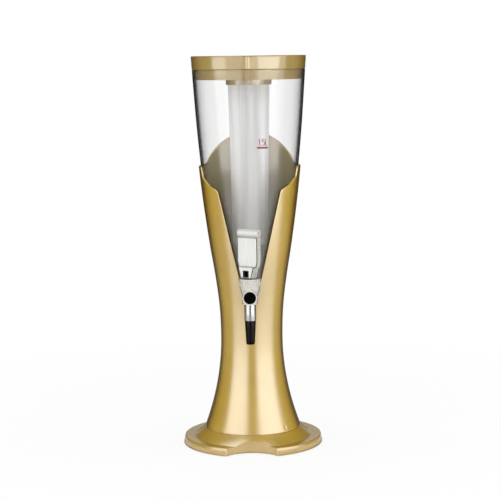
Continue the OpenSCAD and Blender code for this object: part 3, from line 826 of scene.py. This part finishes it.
def make_inside(inner):
    """Rows from the lip's inner edge down to the ledge, round it, and down to the foot.
    The lip's small misfit to the wall fades with (1 - share)^3."""
    angle = np.arctan2(inner[:, 0], -inner[:, 1])
    misfit = np.hypot(inner[:, 0], inner[:, 1]) - (form(inner[:, 2]) - COLUMN_T)
    share = np.linspace(0, 1, 46)[1:, None]
    z = inner[:, 2] + (TANK_Z - inner[:, 2]) * share
    inside = on_wall(z, angle, form(z) - COLUMN_T + misfit * (1 - share) ** 3)
    section = np.vstack([[[LEDGE_R, TANK_Z], [LEDGE_R, TANK_Z - LEDGE_T]],
                         line(TANK_Z - LEDGE_T, FOOT_H, COLUMN_T, 7.3)])
    return np.concatenate([inside, on_wall(section[:, 1:], angle, section[:, :1])])


def make_column():
    lip = make_lip()
    wall = np.concatenate([make_outside(lip[0]), lip, make_inside(lip[-1])])
    grids = [(wall, True, True)]
    post = [[0, FOOT_H], [BOSS_R, FOOT_H], [BOSS_R, BOSS_TOP], [0, BOSS_TOP]]
    for angle in BOSS_ANGLES:
        at = [BOSS_RING * np.cos(angle), BOSS_RING * np.sin(angle), 0]
        grids.append((turned(post, 24) + at, False, True))
    return make_mesh("gold_column", grids)


column = finish_piece(make_column(), gold, "tower", ["column"])

# %% [markdown]
# The inner wall is lit only through the tank, so it gets a copy of the paint with a far
# paler ground: painted light that makes up for the light it lacks.
# No light reaches the narrow gap between shell and tank, and the window's sloping edges
# look drawn with a thin dark line, so most of the lip there gets a nearly black brown:
# painted shade for that unlit gap.

# %% Inner wall, and painted shade along the window's edges
WINDOW_LOW, WINDOW_HIGH, WINDOW_SIDE = 203.0, 352.0, 60.0
LINE_FROM, LINE_TO = 0.22 * COLUMN_T, 0.98 * COLUMN_T


def face_depths(piece):
    """The centre [x, y, z] of every face, and how deep it lies in the tower's line."""
    x, y, z = per_face(piece, "center").T / MM
    return x, y, z, form(z) - np.hypot(x, y)


def line_inside(piece, finish, depth):
    give_faces(piece, face_depths(piece)[3] > depth, finish)


# The inner wall takes the paler copy: painted light for the dim inside
line_inside(column, gold_inside_painted_light, COLUMN_T * 0.8)
painted_window_shade = make_plain(
    "painted_window_shade", (0.006, 0.003, 0.0005), (0.016, 0.009, 0.002), 0.0, 0.6, 900, shine=0.2)
x, y, z, depth = face_depths(column)
# Lip faces along the window's edges: painted shade for the gap behind them
lip = (depth > LINE_FROM) & (depth < LINE_TO)
lip &= (z > WINDOW_LOW) & (z < WINDOW_HIGH) & (y < 0) & (np.abs(x) < WINDOW_SIDE)
give_faces(column, lip, painted_window_shade)

# %% [markdown]
# ## The foot
#
# The foot is turned too, with a round bite out of its front for the glass. A Boolean
# would do, but rows of circles can end exactly on the bite: a circle of radius r leaves
# the bite's circle (radius q, centre d in front of the axis) at the angle whose cosine
# is (r^2 + d^2 - q^2) / (2 r d). A wall drops from that edge to the table, and Solidify
# gives both their thickness.

# %% Foot piece
FOOT_R, NOTCH_R, NOTCH_Y = 94.0, 41.7, 70.5
NOTCH_D = NOTCH_Y + NOTCH_R
FOOT_IN, FOOT_EDGE_Z, FOOT_T = 61.5, 1.0, 2.4
SLOPE_BEND, CREASE = np.array([[FOOT_R - 22.5, 15.7], [FOOT_R - 14.5, 10.8]])
BRIM = [FOOT_R - 2.1, 11.0]


def foot_section():
    """[radius, height] of the top, whose slope is a parabola from column to crease:
    (1 - t)^2 top + 2 t (1 - t) bend + t^2 crease."""
    t = np.linspace(0, 1, 24)[:, None]
    slope = ((1 - t) ** 2 * np.array([BASE_R - 0.1, FOOT_H]) + 2 * t * (1 - t) * SLOPE_BEND
             + t ** 2 * CREASE)
    corners = np.vstack([[[FOOT_IN, FOOT_H]], slope, [BRIM, [FOOT_R, FOOT_EDGE_Z]]])
    radius = np.zeros(len(corners))
    radius[-3:-1] = 1.0, 1.4
    return softened(corners, radius, 7)


def foot_rows(section):
    """Radii of the circles: close at the column, even steps round the bite, brim."""
    cosine = (FOOT_R ** 2 + NOTCH_D ** 2 - NOTCH_R ** 2) / (2 * FOOT_R * NOTCH_D)
    reach = np.arcsin(FOOT_R * np.sin(np.arccos(cosine)) / NOTCH_R)
    bite = np.linspace(0, reach, 26)
    bite = np.hypot(NOTCH_R * np.sin(bite), NOTCH_D - NOTCH_R * np.cos(bite))
    close = [FOOT_IN, 63, 64.4, 64.6, 65.2, 66, 67, 68, 69, 69.8]
    rows = np.concatenate([close, bite, section[-14:, 0]])
    return np.unique(np.round(np.clip(rows, FOOT_IN, FOOT_R), 3))[:, None]


def make_foot():
    section = foot_section()
    rows = foot_rows(section)
    z = np.interp(rows, section[:, 0], section[:, 1])
    cosine = (rows ** 2 + NOTCH_D ** 2 - NOTCH_R ** 2) / (2 * rows * NOTCH_D)
    opened = np.where(rows < NOTCH_Y, 0, np.arccos(np.clip(cosine, -1, 1)))
    angle = opened + (2 * np.pi - 2 * opened) * np.linspace(0, 1, 261)
    skin = on_wall(z, angle, rows)
    cut = rows[:, 0] >= NOTCH_Y - 0.01
    edge = np.concatenate([skin[cut, -1][::-1], skin[cut, 0][1:]])
    drop = np.linspace(0, 1, 7)[:, None, None]
    wall = edge + drop * (np.array([0, 0, FOOT_EDGE_Z]) - edge * [0, 0, 1])
    return make_mesh("gold_foot_painted_light", [(skin, False, False), (wall, False, False)], upwards=True)


foot = bevelled(finish_piece(make_foot(), gold_foot_painted_light, "tower", ["foot"]), 0.6)
wall = foot.modifiers.new("wall", "SOLIDIFY")
wall.thickness = FOOT_T * MM
wall.offset = -1

# %% [markdown]
# ## Tank, lid and ice tube
#
# All three are turned. The tank is a clear cup. One surface would look like a bubble,
# so it has an outer and an inner wall. Two flat rings on it are the tap's seats.

# %% Tank piece
TANK_FLOOR, TANK_ROUND, BRIM_ROUND = 3.0, 3.0, 0.9
SHANK_Z = SLOT_Z
TAP_HOLE_R, TAP_PAD_R, TAP_BOSS_R = 6.5, 12.0, 9.5
TAP_PAD_Y, TAP_WALL_Y, TAP_BOSS_Y = 37.5, 41.0, 46.5


def tap_ring(radius, back, front):
    """A flat ring round the tap's hole."""
    corners = [[TAP_HOLE_R, back], [radius, back], [radius, front], [TAP_HOLE_R, front]]
    return turned_forward(softened(corners, 0.4, closed=True), SHANK_Z), True, True


def make_tank():
    floor_z = TANK_Z + TANK_FLOOR
    outside = np.vstack([[[0, TANK_Z]], line(TANK_Z, RIM_Z, TANK_IN)])
    inside = np.vstack([line(RIM_Z, floor_z, TANK_IN + TANK_T), [[0, floor_z]]])
    radius = np.zeros(len(outside) + len(inside))
    radius[[1, -2]] = TANK_ROUND
    radius[[len(outside) - 1, len(outside)]] = BRIM_ROUND
    cup = turned(softened(np.vstack([outside, inside]), radius, 6), 200)
    boss = tap_ring(TAP_BOSS_R, TAP_WALL_Y, TAP_BOSS_Y)
    pad = tap_ring(TAP_PAD_R, TAP_PAD_Y, TAP_WALL_Y)
    return make_mesh("clear_tank", [(cup, False, True), boss, pad])


tank = finish_piece(make_tank(), clear_outside, "tank", ["tank"])
line_inside(tank, clear_inside, TANK_IN + TANK_T / 2)

# %% [markdown]
# The lid is a cap with a plug inside the tank and a socket for the tube. One section
# keeps all that closed, and a fine recess under its skirt makes the dark seam.

# %% Lid piece
PLUG_H, PLUG_T, LID_T = 13.0, 2.0, 3.0
DISH, DISH_IN, DISH_SLOPE = 0.7, 13.0, 1.0
SEAM_Z, SEAM_IN, SEAM_OUT = 0.05, 1.4, 0.5
SOCKET_H, SOCKET_T, SOCKET_GAP = 20.0, 2.65, 0.1
ICE_R, ICE_END_R, ICE_Z, ICE_T = 27.5, 23.2, 268.0, 2.0


def make_lid():
    plug_in = TANK_IN + TANK_T + 0.4
    plug_z, seam_z, roof_z = RIM_Z - PLUG_H, RIM_Z + SEAM_Z, TOTAL_H - LID_T
    top, rim, plug = (float(form(z)) for z in (TOTAL_H, RIM_Z, plug_z))
    bore = ICE_R + SOCKET_GAP
    skirt = line(TOTAL_H - 0.01, RIM_Z + 1.0, TANK_IN)
    corners = np.vstack([
        [[0, TOTAL_H - DISH], [top - DISH_IN - DISH_SLOPE, TOTAL_H - DISH],
         [top - DISH_IN, TOTAL_H]], skirt,
        [[rim - TANK_IN - SEAM_OUT, seam_z], [rim - TANK_IN - SEAM_IN, seam_z],
         [rim - plug_in, seam_z], [plug - plug_in, plug_z],
         [plug - plug_in - PLUG_T, plug_z], [top - plug_in - LID_T, roof_z],
         [bore + SOCKET_T, roof_z], [bore + SOCKET_T, RIM_Z - SOCKET_H],
         [bore, RIM_Z - SOCKET_H], [bore, roof_z], [0, roof_z]]])
    radius = np.full(len(corners), 0.3)
    radius[1:3] = 1.5
    radius[3] = 1.1
    radius[4:2 + len(skirt)] = 0
    radius[2 + len(skirt)] = 0.8
    return make_mesh("gold_lid_painted_light", [(turned(softened(corners, radius, 6), 200), False, True)])


lid = finish_piece(make_lid(), gold_lid_painted_light, "lid", ["lid"])

# %% [markdown]
# The tube is closed below and tapers, so that it slides out of its mould. Its neck is
# straight, because a thread runs there.

# %% Ice tube piece
NECK_LOW, NECK_TOP = RIM_Z - 24, TOTAL_H - 5.5
turned_piece(
    "frosted_ice_tube",
    [[0, ICE_Z], [ICE_END_R, ICE_Z], [ICE_R, NECK_LOW], [ICE_R, NECK_TOP],
     [ICE_R - ICE_T, NECK_TOP], [ICE_R - ICE_T, NECK_LOW],
     [ICE_END_R - ICE_T, ICE_Z + ICE_T], [0, ICE_Z + ICE_T]],
    [0, 6, 0.5, 0.5, 0.4, 0.4, 4, 0], frosted, "ice_tube", ["ice_tube"])

# %% [markdown]
# ## The tap's turned fittings
#
# Bonnet, spout, nozzle and front plug are small turned parts with crisp but rounded
# edges. At this size a few tenths of a millimetre make an edge catch a highlight.

# %% Bonnet piece
STEM_Y = -81.5
BONNET_Z, ROOF_Z, CAP_Z, BONNET_TOP = (SHANK_Z + rise for rise in (14, 20.5, 21, 24))
STEM_BORE, NECK_R, SKIRT_R, CAP_R = 2.6, 11.05, 14.0, 14.6
BONNET_SIDES, FLUTES, FLUTE_DEPTH = 288, 24, 0.6


def make_bonnet():
    """A turned collar whose skirt is fluted: depth x (1 + cos(flutes x angle)) / 2."""
    section = softened(
        [[STEM_BORE, ROOF_Z], [NECK_R, ROOF_Z], [NECK_R, BONNET_Z], [SKIRT_R, BONNET_Z],
         [SKIRT_R, CAP_Z], [CAP_R, CAP_Z], [CAP_R, BONNET_TOP], [STEM_BORE, BONNET_TOP]],
        [0.1, 0.3, 0.2, 0.5, 0.2, 0.5, 0.8, 0.2], closed=True)
    bonnet = turned(section, BONNET_SIDES)
    radius = np.hypot(bonnet[..., 0], bonnet[..., 1])[..., None]
    a = np.linspace(0, 2 * np.pi, BONNET_SIDES, endpoint=False)[:, None]
    wave = 0.5 + 0.5 * np.cos(FLUTES * a)
    fluted = (radius > SKIRT_R - FLUTE_DEPTH) & (bonnet[..., 2:] < CAP_Z - 0.1)
    bonnet[..., :2] *= 1 - fluted * FLUTE_DEPTH * wave / radius
    bonnet[..., 1] += STEM_Y
    return make_mesh("clear_bonnet", [(bonnet, True, True)])


finish_piece(make_bonnet(), clear_fitting, "tank", ["bonnet"])

# %% Spout, nozzle and plug pieces
SPOUT_R, SPOUT_BORE, SPOUT_Z, SPOUT_TOP = 7.6, 6.05, SHANK_Z - 31, SHANK_Z - 9.6
NOZZLE_R, NOZZLE_END_R, NOZZLE_BORE, NOZZLE_IN_R = 7.25, 5.6, 3.5, 6.0
NOZZLE_Z, NOZZLE_TOP = SHANK_Z - 62.4, SHANK_Z - 23.5
FRONT_Y, PLUG_SEAT_Y, PLUG_BACK_Y, PLUG_R, PLUG_IN_R = 94.0, 90.2, 89.3, 7.95, 5.7

turned_piece(
    "chrome_spout", [[SPOUT_BORE, SPOUT_Z], [SPOUT_R, SPOUT_Z], [SPOUT_R, SPOUT_TOP],
                     [SPOUT_BORE, SPOUT_TOP]], [0.2, 0.4, 0.4, 0.2],
    chrome, "tank", ["spout_tube"], STEM_Y, 96, closed=True)
turned_piece(
    "black_nozzle",
    [[NOZZLE_BORE, NOZZLE_Z], [NOZZLE_END_R, NOZZLE_Z], [NOZZLE_R, SPOUT_Z],
     [NOZZLE_IN_R, SPOUT_Z], [NOZZLE_IN_R, NOZZLE_TOP], [NOZZLE_BORE, NOZZLE_TOP]],
    [0.8, 2.0, 0.3, 0.1, 0.3, 0.3], black, "tank", ["nozzle"], STEM_Y, 96,
    closed=True)
plug_line = softened(
    [[0, PLUG_BACK_Y], [PLUG_IN_R, PLUG_BACK_Y], [PLUG_IN_R, PLUG_SEAT_Y],
     [PLUG_R, PLUG_SEAT_Y], [PLUG_R, FRONT_Y], [0, FRONT_Y]], [0, 0.1, 0.1, 0.2, 0.9, 0], 6)
plug_mesh = make_mesh("black_plug", [(turned_forward(plug_line, SHANK_Z), False, True)])
finish_piece(plug_mesh, gloss_black, "tank", ["front_plug"])

# %% [markdown]
# ## Fittings that keep their CAD shape
#
# Lever, stem and valve body are right as they are, only too sharp. A copy of such a
# node's mesh is welded, its flat triangles are joined into whole faces, and a Bevel
# rounds every edge that is sharper than the angle given.

# %% Copies of CAD nodes with rounded edges
FLAT = np.radians(0.4)


def eased(node, name, width, finish, body, angle=32):
    """A merged copy of a node's mesh, bevelled by width."""
    shell = bmesh.new()
    shell.from_mesh(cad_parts[node].data)
    bmesh.ops.remove_doubles(shell, verts=shell.verts, dist=WELD)
    bmesh.ops.dissolve_limit(shell, angle_limit=FLAT, verts=shell.verts, edges=shell.edges)
    fresh = bpy.data.meshes.new(name)
    shell.to_mesh(fresh)
    shell.free()
    for attribute in [a for a in fresh.attributes if a.name == "custom_normal"]:
        fresh.attributes.remove(attribute)
    piece = finish_piece(fresh, finish, body, [node], angle)
    return bevelled(piece, width, angle=angle)


eased("valve_body", "clear_valve_body", 0.25, clear_fitting, "tank")
frame_piece = eased(
    "lever_frame", "clear_lever_frame", 0.5, clear_fitting, "lever")
plate = eased("lever_plate", "silver_lever_plate", 0.2, silver, "lever")
eased("lever_roll", "silver_lever_roll", 0.5, silver, "lever")
eased("stem", "black_stem", 0.4, gloss_black, "stem")

# %% [markdown]
# A fine gap runs all round the lever's plate, and no light gets into it. A groove could
# be cut, but it is enough to inset the front faces by a few tenths of a millimetre and
# give the ring that this leaves a nearly black finish, as well as the faces that look
# sideways and one side of the small window through which the stem shows: painted
# shade for gaps and sides that the light doesn't reach.

# %% Painted shade in the lever's gaps
LEVER_YAW = np.radians(32)
AHEAD = np.array([-np.sin(LEVER_YAW), -np.cos(LEVER_YAW), 0])
ACROSS = np.array([np.cos(LEVER_YAW), -np.sin(LEVER_YAW), 0])
JOINT = 0.45
WINDOW_RIGHT = 4.0
LOOKS = 0.7


def sideways(piece, finish, left_of=None):
    """Give a finish to the faces that look along the lever's width, either way. With
    left_of it goes only to those that look right and lie left of that distance."""
    look = per_face(piece, "normal") @ ACROSS
    place = (per_face(piece, "center") / MM - [0, STEM_Y, 0]) @ ACROSS
    both = np.abs(look) > LOOKS
    give_faces(piece, both if left_of is None else (look > LOOKS) & (place < left_of),
               finish)


def outline_front(piece, finish, width):
    """Inset the faces that look forwards and give the ring to a finish."""
    shell = bmesh.new()
    shell.from_mesh(piece.data)
    shell.faces.ensure_lookup_table()
    front = [f for f in shell.faces if f.normal.dot(AHEAD) > LOOKS]
    ring = bmesh.ops.inset_region(shell, faces=front, thickness=width * MM,
                                  use_even_offset=True)["faces"]
    for face in ring:
        face.material_index = len(piece.data.materials)
    shell.to_mesh(piece.data)
    shell.free()
    piece.data.materials.append(finish)
    print(piece.name, "ring faces:", len(ring), "round", len(front))


# Painted shade: sideways faces, the inset ring, and one side of the stem's window
sideways(plate, painted_gap_shadow)
outline_front(plate, painted_gap_shadow, JOINT)
sideways(frame_piece, painted_gap_shadow, WINDOW_RIGHT)

# %% [markdown]
# ## The return spring
#
# A coil of wire pushes the valve shut. Its tube is a circle carried along a helix; the
# circle only needs the outward and the upward direction, because the helix is flat.
# When the lever lifts the stem, the coil shortens towards its upper end.

# %% Spring piece
COIL_TURNS, COIL_R, WIRE_R = 3.5, 5.0, 0.4
COIL_Z, COIL_H = 224.83, 6.24


def capped(rows):
    """Add a row at each end that lies in one point, the middle of its neighbour."""
    ends = [np.broadcast_to(rows[i].mean(0), rows[i].shape)[None] for i in (0, -1)]
    return np.concatenate([ends[0], rows, ends[1]])


def make_spring():
    """Helix [r cos turn, r sin turn, rise], with r and rise moved round the wire."""
    t = np.linspace(0, 1, 113)[:, None]
    b = np.linspace(0, 2 * np.pi, 8, endpoint=False)
    out = COIL_R + WIRE_R * np.cos(b)
    turn = 2 * np.pi * COIL_TURNS * t
    coil = np.stack([out * np.cos(turn), STEM_Y + out * np.sin(turn),
                     COIL_Z + COIL_H * t + WIRE_R * np.sin(b)], -1)
    return make_mesh("steel_spring", [(capped(coil), False, True)])


spring = finish_piece(make_spring(), steel, "tank", ["return_spring"], 60)
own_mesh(spring)

# %% [markdown]
# ## The fill mark
#
# A small red mark shows how high one and a half litres reach. Ink could be a picture
# on the tank; here each stroke is a thin band bent round its wall: a line of
# [arc length, height] with a width, turned by arc length / radius.

# %% Fill mark piece
PEN, FINE_PEN, BAR_PEN = 0.85, 0.9, 2.2
INK_OUT, INK_IN = 0.12, -0.1
LOW, HIGH, BAR_Z = 405.0, 413.0, 402.0


def stroke(points, width):
    """A band along a line of [arc length, height], as a box section of four corners."""
    path = spaced(np.asarray(points, float), 0.35)
    along = unit(np.gradient(path, axis=0))
    side = np.stack([-along[:, 1], along[:, 0]], 1) * width / 2
    corners = np.stack([path - side, path + side, path + side, path - side], 1)
    r = form(corners[..., 1]) - TANK_IN
    lifted = r + np.array([INK_IN, INK_IN, INK_OUT, INK_OUT])
    return capped(on_wall(corners[..., 1], corners[..., 0] / r, lifted)), False, True


a = np.radians(np.linspace(125, -130, 20))
bowl = np.stack([19.5 + 1.85 * np.cos(a), 407.6 + 2.5 * np.sin(a)], 1)
strokes = [
    stroke([[13.4, 411.2], [14.7, HIGH], [14.7, LOW]], PEN),
    stroke([[17.2, LOW], [17.2, LOW + 0.8]], FINE_PEN),
    stroke(np.vstack([[[21.3, HIGH], [18.5, HIGH], [18.35, 409.4]], bowl]), PEN),
    stroke([[22.5, HIGH + 0.2], [22.5, LOW + 0.2], [24.7, LOW + 0.2]], PEN),
    stroke([[11.1, BAR_Z], [25.6, BAR_Z]], BAR_PEN),
]
finish_piece(make_mesh("fill_mark", strokes), mark_red, "tank")

# %% [markdown]
# ## Finishes on the nodes that stay
#
# Washers, screws, pads and the other inner parts keep their CAD meshes, and only need a
# material in their object's slots.

# %% Finishes on CAD nodes
KEPT = {
    steel: "ballast_ring column_screws plate_screws spring_washer lever_pin",
    black: "bottom_plate", pad_rubber: "foot_pads", clear_fitting: "tap_locknut",
    seal_rubber: "tap_washer_outer tap_washer_inner",
    silicone: "stem_seal seat_cup ice_tube_gasket",
}
for finish, nodes in KEPT.items():
    for node in nodes.split():
        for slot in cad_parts[node].material_slots:
            slot.link = "OBJECT"
            slot.material = finish
print("finishes on CAD nodes:", len(KEPT))
